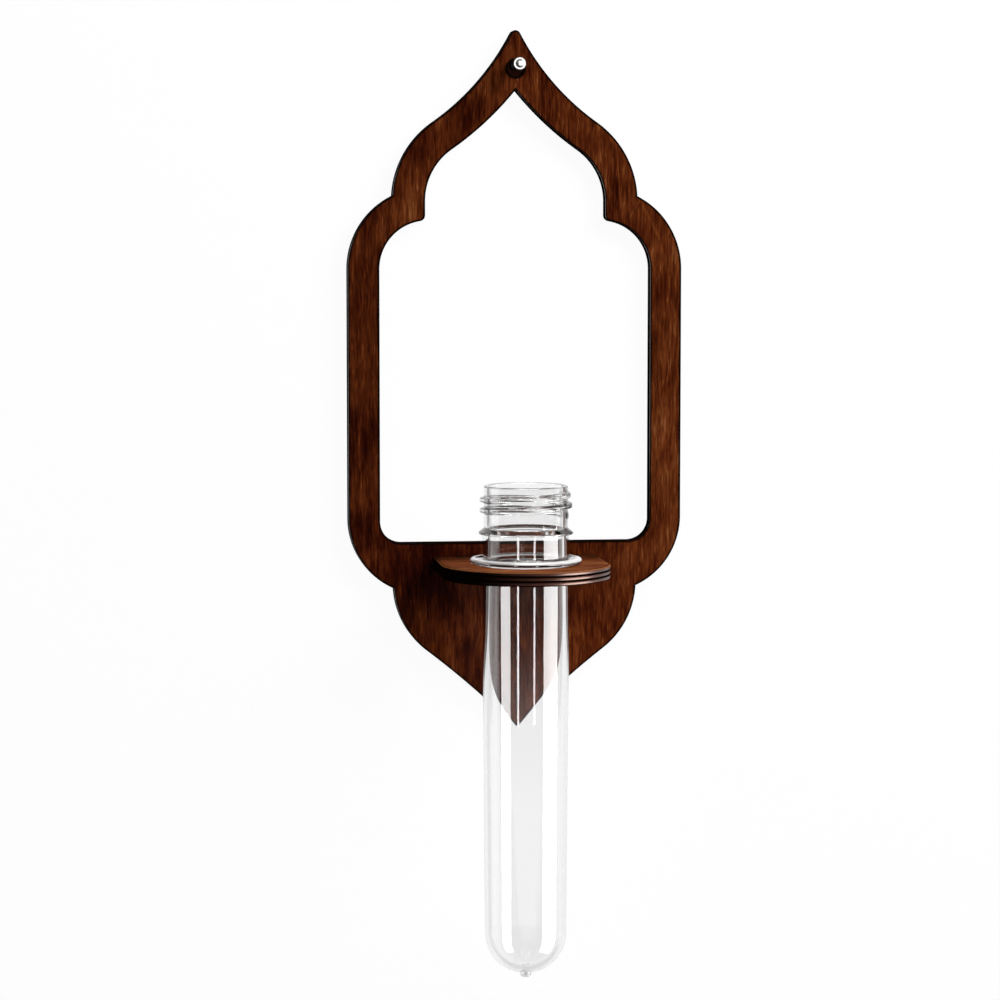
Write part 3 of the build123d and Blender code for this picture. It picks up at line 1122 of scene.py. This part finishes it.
def thread_lift(s, turn, height):
    """How far the thread is raised, from 0 to 1, at each angle and height.

    A trapezium with soft flanks over the distance along the axis from the helix, faded
    in and out at the helix's ends. Each lap of the helix is laid over the others."""
    lap_angle = 2 * math.pi
    whole = lap_angle * s.thread_turns
    slope = (s.thread_root - s.thread_crest) / 2
    lift = np.zeros_like(height)
    for lap in range(math.ceil(s.thread_turns) + 1):
        travelled = (turn - s.thread_start_angle) % lap_angle + lap * lap_angle
        line = RIM_HEIGHT - s.thread_start_drop + s.thread_pitch * travelled / lap_angle
        flank = (s.thread_root / 2 - np.abs(height - line)) / slope
        fade_in = smooth_step(0, s.thread_fade, travelled)
        fade_out = smooth_step(0, s.thread_fade, whole - travelled)
        lift = np.maximum(lift, smooth_step(0, 1.0, flank) * (fade_in * fade_out))
    return lift


def tube_grid(s):
    """The clear tube: its profile turned about its axis, with thread and parting line.

    The radius is the profile's, plus the thread's height on the neck above the bead,
    plus a bell curve over the angle from the parting line, from the ring to the bead."""
    profile = tube_profile(s)
    neck, lower_neck = s.neck_diameter / 2, s.lower_neck_diameter / 2
    bead_top = RIM_HEIGHT - s.bead_drop + s.bead_height

    # Columns round the axis, closer together at the two parting lines
    even = np.linspace(0, 2 * math.pi, TUBE_COLUMNS + 1)[:-1]
    near = np.linspace(-SEAM_REACH, SEAM_REACH, SEAM_COLUMNS)
    seams = np.array([s.seam_angle, s.seam_angle + math.pi])
    turn = np.sort(np.concatenate([even, ((seams[:, None] + near) % (2 * math.pi)).ravel()]))
    height = np.broadcast_to(profile[:, 1:], (len(profile), len(turn)))

    # The thread
    on_neck = (np.abs(profile[:, 0] - neck) < 2 * ON_SIDE) & (profile[:, 1] > bead_top)
    rise = (s.thread_diameter - s.neck_diameter) / 2
    radius = profile[:, :1] + rise * thread_lift(s, turn, height) * on_neck[:, None]

    # The mould's parting line, on the lower neck and the bead
    off = (turn[:, None] - seams + math.pi / 2) % math.pi - math.pi / 2
    ridge = np.exp(-((np.abs(off).min(1) / SEAM_WIDTH) ** 2))
    parted = profile[:, 0] > lower_neck - NEAR_SIDE
    parted &= profile[:, 1] > SHELF_TOP + s.ring_thickness + SEAM_START
    radius = radius + s.seam_height * ridge * parted[:, None]
    return np.stack([radius * np.cos(turn), TUBE_Y + radius * np.sin(turn), height], 2)


def nail_grid(s):
    """The nail as a profile turned about its axis, from the dimple to the point.

    The dimple's depth falls off with the square of the distance from the axis. Grip
    marks are grooves with soft sides, a pitch apart along the shank."""
    front, tip = NAIL_LOW.y, NAIL_HIGH.y
    shank, head, dimple = s.diameter / 2, s.head_diameter / 2, s.dimple_diameter / 2
    out = np.linspace(0, 1, CUP_POINTS)
    cup = np.stack([dimple * out, front + s.dimple_depth * (1 - out**2)], 1)
    body = rounded(
        [
            (dimple, front, 0),
            (head, front, s.head_round),
            (head, front + s.head_land, 0.0002),
            (shank, front + s.head_height, 0.0004),
            (shank, tip - s.point, 0.001),
            (0, tip, 0),
        ]
    )
    profile = densified(joined(cup, body), lambda first, last: NAIL_STEP)
    marks = np.arange(s.mark_count) * -s.mark_pitch
    off = np.abs(profile[:, 1:] - marks).min(1)
    half_mark = s.mark_width / 2
    groove = 1 - smooth_step(half_mark - MARK_SOFT, half_mark + MARK_SOFT, off)
    on_shank = np.abs(profile[:, 0] - shank) < ON_SIDE
    radius = profile[:, 0] - s.mark_depth * groove * on_shank
    radius[[0, -1]] = 0.0
    turn = np.linspace(0, 2 * math.pi, NAIL_COLUMNS + 1)[:-1]
    depth = np.broadcast_to(profile[:, 1:], (len(profile), len(turn)))
    return np.stack([radius[:, None] * np.cos(turn), depth, radius[:, None] * np.sin(turn)], 2)


class VASE_OT_frame_board(Operator):
    """Builds the three plies of the frame"""

    bl_idname = "vase.frame_board"
    bl_label = "Frame board"

    def execute(self, context):
        sizes = context.scene.vase_frame
        shelf = context.scene.vase_shelf
        looks = {"lift": 0.48, "face_coat": 0.06, "cut_gloss": 0.0}
        wood = stained_plywood("stained_frame", "Z", FIGURE_AND_SHADOWS, LINES, **looks)
        for place, slot in FRAME_PLIES.items():
            node = f"frame_{place}_veneer"
            low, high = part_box(node)
            mesh = frame_veneer(f"{place}_ply", sizes, low.y, high.y, place == "front")
            near, far = low.y - VENEER, high.y + VENEER
            shelf_foot = SHELF_TOP - 3 * VENEER
            slots = tenon_boxes(shelf, shelf.glue_gap, near, far, shelf_foot, SHELF_TOP)
            mesh = cut_or_joined(mesh, slots, "DIFFERENCE")
            finished(f"frame_{place}_ply", mesh, wood, "frame", [node])
        return {"FINISHED"}


class VASE_OT_shelf_board(Operator):
    """Builds the three plies of the shelf with their tenons"""

    bl_idname = "vase.shelf_board"
    bl_label = "Shelf board"

    def execute(self, context):
        sizes = context.scene.vase_shelf
        # Painted light: the shelf's stain is lifted above the frame's because its top faces the light
        # from above
        looks = {"lift": 0.75, "face_coat": 0.045, "cut_gloss": 0.8}
        wood = stained_plywood("stained_shelf", "X", (), (), **looks)
        for place, slot in SHELF_PLIES.items():
            node = f"shelf_{place}_veneer"
            low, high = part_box(node)
            mesh = shelf_veneer(f"{place}_ply", sizes, high.z, low.z)
            tenons = tenon_boxes(sizes, 0.0, FRAME_FRONT - 2 * VENEER, high.y, low.z, high.z)
            mesh = cut_or_joined(mesh, tenons, "UNION")
            finished(f"shelf_{place}_ply", mesh, wood, "frame", [node])
        return {"FINISHED"}


class VASE_OT_flower_tube(Operator):
    """Builds the clear tube with its neck, thread, ring and dome"""

    bl_idname = "vase.flower_tube"
    bl_label = "Flower tube"

    def execute(self, context):
        mesh = turned_mesh("clear_tube", tube_grid(context.scene.vase_tube))
        piece = finished(
            "clear_tube", mesh, clear_plastic(), "tube", ["flower_tube"], 60.0
        )
        piece.visible_shadow = False
        return {"FINISHED"}


class VASE_OT_hanging_nail(Operator):
    """Builds the nail with its dimpled head"""

    bl_idname = "vase.hanging_nail"
    bl_label = "Hanging nail"

    def execute(self, context):
        mesh = turned_mesh("steel_nail", nail_grid(context.scene.vase_nail))
        finished("steel_nail", mesh, drawn_steel(), "nail", ["hanging_nail"])
        return {"FINISHED"}


# Width of the camera's sensor, in millimetres
SENSOR_WIDTH = 36.0

# The wall's half width, top and gap behind the frame, and the floor's half width and height
WALL_REACH, WALL_TOP, WALL_GAP = 2.5, 2.0, 0.0004
FLOOR_REACH, FLOOR_HEIGHT = 4.0, -1.3


def plane_piece(name, corners, material):
    """A flat stage plane from its four corners."""
    mesh = bpy.data.meshes.new(name)
    mesh.from_pydata(corners, [], [(0, 1, 2, 3)])
    mesh.materials.append(material)
    piece = bpy.data.objects.new(name, mesh)
    bpy.context.scene.collection.objects.link(piece)


# Colours of the stage where it is seen
BLACK, WHITE = opaque((0, 0, 0)), opaque((1, 1, 1))

# How far the stage shows its white, and how far its white is dimmed in a reflection
SHOWN, DIMMED = 0.95, 0.95


def light_path(m, name):
    """One output of the Light Path node."""
    return m.add("ShaderNodeLightPath", {}, {}, name)


def seen_rays(m):
    """1 for rays from the camera, from a gloss or through the tube, and 0 for others."""
    names = ("Is Camera Ray", "Is Glossy Ray", "Is Transmission Ray")
    camera, glossy, through = [light_path(m, name) for name in names]
    return camera.max(glossy).max(through)


def bounced(m, name):
    """1 for rays with at least one bounce of those that a depth counts, and 0 for others."""
    return light_path(m, name).rise(0.4, 0.6)


def white_where_seen(m, lit, shown):
    """A shader that shows a colour to the rays that see it, and is lit for the others."""
    return m.blend(seen_rays(m) * SHOWN, lit, m.add("ShaderNodeEmission", {}, {"Color": shown}))


# A painted dark disc of shade on the wall round the nail, where the hole lies in shade:
# its radius, its soft rim and its colours, lit and shown
SHADE_DISC_RADIUS, SHADE_DISC_RIM = 0.0045, 0.0001
SHADE_DISC_LIT, SHADE_DISC_SHOWN = opaque((0.04, 0.010, 0.007)), opaque((0.011, 0.003, 0.002))

# Painted dark reflections: cards on the wall beside the tube, from the middle line, with the heights
# of the one beside the neck, the top of those beside the body, and their soft edge, in metres
CARD_NEAR, CARD_FAR, CARD_EDGE = 0.026, 0.058, 0.002
NECK_CARD_LOW, NECK_CARD_HIGH, BODY_CARD_HIGH = -0.140, -0.114, -0.150

# How dark the cards are: beside the neck, left and right of the body, and below the tube
NECK_CARD, BODY_CARD_LEFT, BODY_CARD_RIGHT, LOW_CARD = 0.6, 0.18, 0.08, 0.25

# Where on the wall the left turns to the right, the card below ends and the dim upper part
# starts, and how near something lies against it, in metres
LEFT_TO_RIGHT, LOW_CARD_END = (-0.01, 0.01), (-0.300, -0.285)
DIM_START, AGAINST = (-0.10, -0.06), (0.002, 0.004)


def wall_paint(f):
    """White paint, seen from the front only, with a painted dark disc of shade round the nail.

    Its upper part is dim in a reflection. Dark cards are painted beside the tube's neck, and
    fainter ones beside its body and below it: painted dark reflections, which only rays that
    have met the tube or another piece see. Light from behind passes the wall to reach what lies
    against it."""
    m = new_material("wall_paint")
    place = m.place()
    x, z = m.axes(place, "XZ")
    from_nail = m.reach(m.stretched(place, (1, 0, 1)))
    # Painted shade: the wall is dark within a disc round the nail
    outside_shade_disc = from_nail.rise(SHADE_DISC_RADIUS - SHADE_DISC_RIM, SHADE_DISC_RADIUS + SHADE_DISC_RIM)
    lit = m.add("ShaderNodeBsdfDiffuse", {}, {"Color": m.mix(outside_shade_disc, SHADE_DISC_LIT, opaque(f.wall))})

    high = bounced(m, "Glossy Depth") * z.rise(*DIM_START)
    # Painted dark reflections: cards that only rays which have met a piece see, for dark edges in the
    # tube
    beside = x.abs().within(CARD_NEAR, CARD_FAR, CARD_EDGE)
    by_neck = z.within(NECK_CARD_LOW, NECK_CARD_HIGH, CARD_EDGE)
    by_body = 1 - z.rise(BODY_CARD_HIGH - CARD_EDGE, BODY_CARD_HIGH + CARD_EDGE)
    to_right = (BODY_CARD_LEFT - BODY_CARD_RIGHT) * x.rise(*LEFT_TO_RIGHT)
    below = 1 - z.rise(*LOW_CARD_END)
    cards = beside * (NECK_CARD * by_neck + by_body * (BODY_CARD_LEFT - to_right))
    card = bounced(m, "Ray Depth") * cards.max(LOW_CARD * below)
    level = (1 - DIMMED * high) * (1 - card)
    shown = m.mix(level, BLACK, m.mix(outside_shade_disc, SHADE_DISC_SHOWN, WHITE))

    behind = m.add("ShaderNodeNewGeometry", {}, {}, "Backfacing")
    against = 1 - light_path(m, "Ray Length").rise(*AGAINST)
    passed = behind.max(light_path(m, "Is Shadow Ray") * against)
    clear = m.add("ShaderNodeBsdfTransparent")
    return m.surface(m.blend(passed, white_where_seen(m, lit, shown), clear))


def floor_paint(f):
    """A plain pale floor that shows white where it is seen, and dim in a reflection."""
    m = new_material("floor_paint")
    lit = m.add("ShaderNodeBsdfDiffuse", {}, {"Color": opaque(f.wall)})
    shown = m.mix(1 - DIMMED * bounced(m, "Glossy Depth"), BLACK, WHITE)
    return m.surface(white_where_seen(m, lit, shown))


def lamp(name, place, aim, size, level, only_on=None, tint=(1, 1, 1)):
    """A soft box with a radiance in white levels, aimed at a point.

    It lights the scene and isn't mirrored in it. With only_on it is a strip that
    gives no light, and whose reflection shows on those pieces alone."""
    data = bpy.data.lights.new(name, "AREA")
    data.shape = "RECTANGLE"
    data.size, data.size_y = size
    data.energy = level * math.pi * size[0] * size[1]
    data.color = tint
    item = bpy.data.objects.new(name, data)
    item.location = place
    item.rotation_mode = "QUATERNION"
    item.rotation_quaternion = (Vector(aim) - Vector(place)).to_track_quat("-Z", "Y")
    item.visible_camera = False
    item.visible_transmission = False
    item.visible_diffuse = not only_on
    item.visible_glossy = bool(only_on)
    bpy.context.scene.collection.objects.link(item)
    if only_on:
        shown = bpy.data.collections.new(name)
        for piece in only_on:
            shown.objects.link(bpy.data.objects[piece])
        item.light_linking.receiver_collection = shown


def strip(s, name, azimuth, reach, span, width, level, only_on, tint=(1, 1, 1)):
    """An upright strip round the tube, azimuth from the front to the right.

    An upright surface at the tube mirrors it to the camera between the two heights of
    the span: a ray that falls by z - camera z on its way in falls on at that slope."""
    turn = math.radians(azimuth)
    share_of_way = reach / (TUBE_Y - s.camera_y)
    top, bottom = [z + (z - s.camera_z) * share_of_way for z in span]
    middle = (top + bottom) / 2
    place = (reach * math.sin(turn), TUBE_Y - reach * math.cos(turn), middle)
    size = (width, top - bottom)
    lamp(name, place, (0, TUBE_Y, middle), size, level, only_on, tint)


def set_backdrop(f):
    """The wall just behind the frame and the floor far below it."""
    wall = [(-1, FLOOR_HEIGHT), (1, FLOOR_HEIGHT), (1, WALL_TOP), (-1, WALL_TOP)]
    floor = [(-1, -1), (1, -1), (1, 1), (-1, 1)]
    wall = [(side * WALL_REACH, WALL_GAP, height) for side, height in wall]
    floor = [(x * FLOOR_REACH, y * FLOOR_REACH, FLOOR_HEIGHT) for x, y in floor]
    plane_piece("wall", wall, wall_paint(f))
    plane_piece("floor", floor, floor_paint(f))


def set_lamps(s):
    """Soft boxes that light the object, and strips and cards that it mirrors.

    A key box stands at the upper right, one overhead and one behind the wall. The strips'
    reflections run down the tube, the shelf's edge and the frame's rim, and the cards
    show on the carrying ring and on the nail's head."""
    middle = OBJECT_MIDDLE[2]
    aim, ring = (0.0, TUBE_Y, middle), (0, TUBE_Y, SHELF_TOP)

    # Place, aim, size and level
    lamp("key_box", (0.46, -0.40, middle + 0.46), aim, (0.42, 0.42), 15.0)
    lamp("top_box", (0.1, -0.7, 0.85), aim, (0.9, 0.6), 1.6)
    lamp("back_box", (0.2, 1.2, 0.3), aim, (1.2, 1.2), 7.0)

    tube, shelf = ["clear_tube"], [f"shelf_{place}_ply" for place in SHELF_PLIES]
    upper_body, copper = (-0.138, -0.201), (1.0, 0.74, 0.64)

    # Azimuth in degrees, distance from the tube, span of heights, width and level
    strip(s, "left_strip", -63, 0.8, (-0.1485, -0.6), 0.40, 13.0, tube)
    strip(s, "right_strip", 63, 0.8, (-0.138, -0.6), 0.66, 14.0, tube)
    strip(s, "shelf_strip", 66, 0.8, (-0.125, -0.6), 0.60, 26.0, shelf, copper)
    strip(s, "thin_left_strip", -28, 1.1, upper_body, 0.10, 15.0, tube)
    strip(s, "thin_right_strip", 15, 1.2, upper_body, 0.10, 13.0, tube)
    strip(s, "rim_strip", -63, 0.8, (0.11, -0.37), 0.40, 13.0, ["frame_front_ply"])
    lamp("ring_card", (0.0, -0.44, 0.5), ring, (0.7, 0.7), 16.0, tube)
    lamp("nail_card", (-0.22, -0.95, 0.0), (0, 0, 0), (1.3, 1.1), 1.6, ["steel_nail"])


def set_world(s):
    """White where it is seen, dim where a reflection looks into the room in front, less so
    low down, and a soft level of light elsewhere."""
    world = bpy.data.worlds.new("studio")
    bpy.context.scene.world = world
    m = Maker(world)
    depth, up = m.axes(m.add("ShaderNodeTexCoord", {}, {}, "Generated"), "YZ")
    in_front = 1 - depth.rise(0.2, 0.5)
    room = s.room + (s.low_room - s.room) * (1 - up.rise(-0.17, -0.14))
    seen = seen_rays(m)
    dim = bounced(m, "Glossy Depth") * in_front * (1 - room)
    level = seen * (1 - dim) + (1 - seen) * s.ambient
    white = m.add("ShaderNodeBackground", {}, {"Color": m.mix(level, BLACK, WHITE)})
    m.add("ShaderNodeOutputWorld", {}, {"Surface": white})


def set_camera(s):
    """The camera at the photograph's viewpoint, turned by its yaw and then tilted."""
    scene = bpy.context.scene
    data = bpy.data.cameras.new("camera")
    data.lens = s.camera_lens
    data.sensor_width = SENSOR_WIDTH
    camera = bpy.data.objects.new("camera", data)
    camera.location = (s.camera_x, s.camera_y, s.camera_z)
    level = math.cos(s.camera_pitch)
    right, into = math.sin(s.camera_yaw) * level, math.cos(s.camera_yaw) * level
    camera.rotation_mode = "QUATERNION"
    ahead = Vector((right, into, -math.sin(s.camera_pitch)))
    camera.rotation_quaternion = ahead.to_track_quat("-Z", "Y")
    scene.collection.objects.link(camera)
    scene.camera = camera


class VASE_OT_stage(Operator):
    """Sets the wall, floor, lamps, world and camera"""

    bl_idname = "vase.stage"
    bl_label = "Stage"

    def execute(self, context):
        settings = context.scene.vase_stage
        set_backdrop(context.scene.vase_finishes)
        set_lamps(settings)
        set_world(settings)
        set_camera(settings)
        context.scene.view_settings.view_transform = "Standard"
        return {"FINISHED"}


class VASE_PT_sidebar(Panel):
    """Lists the pieces and their sizes"""

    bl_idname = "VASE_PT_sidebar"
    bl_label = "Flower tube"
    bl_space_type = "VIEW_3D"
    bl_region_type = "UI"
    bl_category = "Flower tube"

    def draw(self, context):
        groups = (
            (VASE_OT_frame_board, context.scene.vase_frame),
            (VASE_OT_shelf_board, context.scene.vase_shelf),
            (VASE_OT_flower_tube, context.scene.vase_tube),
            (VASE_OT_hanging_nail, context.scene.vase_nail),
            (VASE_OT_stage, context.scene.vase_stage),
        )
        for operator, sizes in groups:
            column = self.layout.box().column(align=True)
            column.operator(operator.bl_idname)
            for name in sizes.__annotations__:
                column.prop(sizes, name)
        column = self.layout.box().column(align=True)
        for name in context.scene.vase_finishes.__annotations__:
            column.prop(context.scene.vase_finishes, name)


SETTINGS = {
    "vase_frame": FrameSizes,
    "vase_shelf": ShelfSizes,
    "vase_tube": TubeSizes,
    "vase_nail": NailSizes,
    "vase_finishes": Finishes,
    "vase_stage": StageSettings,
}
CLASSES = (
    *SETTINGS.values(),
    VASE_OT_frame_board,
    VASE_OT_shelf_board,
    VASE_OT_flower_tube,
    VASE_OT_hanging_nail,
    VASE_OT_stage,
    VASE_PT_sidebar,
)


def register():
    """Adds the operators, the panel and the settings on the scene."""
    for item in CLASSES:
        bpy.utils.register_class(item)
    for name, group in SETTINGS.items():
        setattr(bpy.types.Scene, name, PointerProperty(type=group))


def unregister():
    """Takes them away again."""
    for name in SETTINGS:
        delattr(bpy.types.Scene, name)
    for item in reversed(CLASSES):
        bpy.utils.unregister_class(item)


def main():
    """Builds every piece and the stage."""
    register()
    bpy.ops.vase.frame_board()
    bpy.ops.vase.shelf_board()
    bpy.ops.vase.flower_tube()
    bpy.ops.vase.hanging_nail()
    bpy.ops.vase.stage()


if __name__ == "__main__":
    main()
